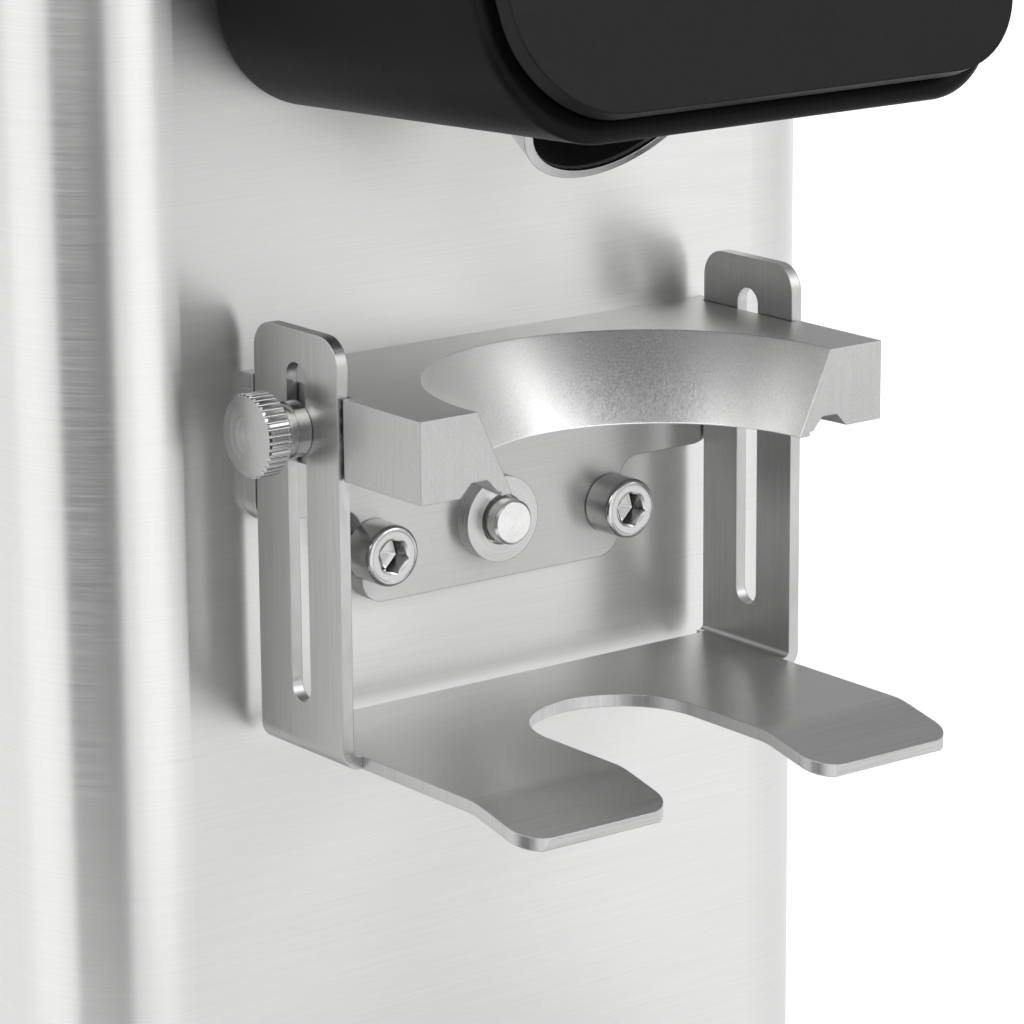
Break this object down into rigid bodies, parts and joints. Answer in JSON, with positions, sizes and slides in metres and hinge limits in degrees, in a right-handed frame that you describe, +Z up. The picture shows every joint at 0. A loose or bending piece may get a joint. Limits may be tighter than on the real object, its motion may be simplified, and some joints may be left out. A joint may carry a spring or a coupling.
{
  "type": "on-demand coffee grinder",
  "caption": "Electric burr grinder with a steel column, leaning head with outlet tube, crescent portafilter rest and sliding slotted fork, on a base with a grounds tray and bean hopper.",
  "frame": {"origin": "centre of the footprint, on the floor", "axes": "+Z up, -Y towards the user, +X to the user's right"},
  "size_m": [0.17, 0.277, 0.5911],
  "materials": {
    "column_steel": "fine horizontal brushing",
    "cover_steel": "fine horizontal brushing",
    "bracket_steel": "brushed sheet",
    "rest_metal": "fine blasted sides, brushed top, turned bore",
    "chute_steel": "cut tube, bright rim",
    "screw_steel": "polished",
    "knurled_steel": "turned and knurled",
    "pin_steel": "turned",
    "head_plastic": "satin moulded",
    "panel_gloss": "semi-gloss",
    "window_glass": "gloss",
    "base_plastic": "fine grain moulded",
    "tray_metal": "brushed",
    "foot_rubber": "moulded rubber",
    "chassis_steel": "plated sheet",
    "motor_metal": "cast and machined",
    "motor_core": "laminated core",
    "burr_steel": "hardened and ground",
    "hopper_clear": "smoked clear plastic",
    "board_green": "solder resist",
    "capacitor_case": "drawn can"
  },
  "bodies": {
    "main": {"column_shell": "column_steel", "rear_cover": "cover_steel", "mounting_plate": "bracket_steel", "holder_rest": "rest_metal", "outlet_chute": "chute_steel", "mounting_screws": "screw_steel", "rest_screws": "screw_steel", "rivet_nuts": "screw_steel", "column_screws": "screw_steel", "rear_cover_screws": "screw_steel", "foot_screws": "screw_steel", "bushing_nut": "screw_steel", "guide_screw": "screw_steel", "pin_bushing": "pin_steel", "pin_spring": "pin_steel", "bearing_lower": "pin_steel", "bearing_upper": "pin_steel", "head_housing": "head_plastic", "front_panel": "panel_gloss", "display_window": "window_glass", "base_housing": "base_plastic", "base_plate": "base_plastic", "top_cover": "base_plastic", "power_switch_frame": "base_plastic", "cable_inlet": "base_plastic", "micro_switch": "base_plastic", "foot_front_left": "foot_rubber", "foot_front_right": "foot_rubber", "foot_rear_left": "foot_rubber", "foot_rear_right": "foot_rubber", "chassis_plate": "chassis_steel", "switch_bracket": "chassis_steel", "motor_housing": "motor_metal", "burr_chamber": "motor_metal", "motor_stator": "motor_core", "control_board": "board_green", "capacitor": "capacitor_case"},
    "tray": {"grounds_tray": "tray_metal"},
    "fork": {"fork_bracket": "bracket_steel"},
    "thumb": {"thumb_screw": "knurled_steel"},
    "start_pin": {"switch_pin": "pin_steel"},
    "key_left": {"button_left": "panel_gloss"},
    "key_middle": {"button_middle": "panel_gloss"},
    "key_right": {"button_right": "panel_gloss"},
    "rotor": {"motor_rotor": "motor_core", "motor_shaft": "pin_steel", "lower_carrier": "motor_metal", "lower_burr": "burr_steel", "shaft_nut": "screw_steel"},
    "mill_adjust": {"upper_carrier": "motor_metal", "upper_burr": "burr_steel", "adjust_ring": "base_plastic", "bean_hopper": "hopper_clear"},
    "gate": {"hopper_gate": "base_plastic"},
    "lid": {"hopper_lid": "base_plastic"},
    "rocker": {"power_rocker": "base_plastic"}
  },
  "joints": [
    {"name": "tray_lift", "type": "slide", "parent": "main", "child": "tray", "axis": [0, 0, 1], "range_m": [0, 0.05]},
    {"name": "fork_slide", "type": "slide", "parent": "main", "child": "fork", "axis": [0, 0, 1], "range_m": [-0.0073, 0.019]},
    {"name": "thumb_turn", "type": "hinge", "parent": "main", "child": "thumb", "pos_m": [-0.046, -0.053, 0.2135], "axis": [-1, 0, 0], "range_deg": [-180, 180]},
    {"name": "start_pin_press", "type": "slide", "parent": "main", "child": "start_pin", "axis": [0, 1, 0], "range_m": [0, 0.0025], "stiffness_N_per_m": 700, "springref_m": -0.004, "deforming": ["pin_spring"]},
    {"name": "key_left_press", "type": "slide", "parent": "main", "child": "key_left", "axis": [0, 0.9135, -0.4067], "range_m": [0, 0.0004], "stiffness_N_per_m": 1500, "springref_m": -0.001},
    {"name": "key_middle_press", "type": "slide", "parent": "main", "child": "key_middle", "axis": [0, 0.9135, -0.4067], "range_m": [0, 0.0004], "stiffness_N_per_m": 1500, "springref_m": -0.001},
    {"name": "key_right_press", "type": "slide", "parent": "main", "child": "key_right", "axis": [0, 0.9135, -0.4067], "range_m": [0, 0.0004], "stiffness_N_per_m": 1500, "springref_m": -0.001},
    {"name": "rotor_spin", "type": "hinge", "parent": "main", "child": "rotor", "pos_m": [0, 0.0395, 0.25], "axis": [0, 0, 1], "continuous": true},
    {"name": "grind_adjust", "type": "hinge", "parent": "main", "child": "mill_adjust", "pos_m": [0, 0.0395, 0.43], "axis": [0, 0, 1], "range_deg": [-150, 150]},
    {"name": "gate_pull", "type": "slide", "parent": "mill_adjust", "child": "gate", "axis": [-1, 0, 0], "range_m": [0, 0.051]},
    {"name": "lid_lift", "type": "slide", "parent": "mill_adjust", "child": "lid", "axis": [0, 0, 1], "range_m": [0, 0.05]},
    {"name": "rocker_tilt", "type": "hinge", "parent": "main", "child": "rocker", "pos_m": [0.0685, 0.0865, 0.09], "axis": [0, 0, 1], "range_deg": [-8, 8]}
  ]
}
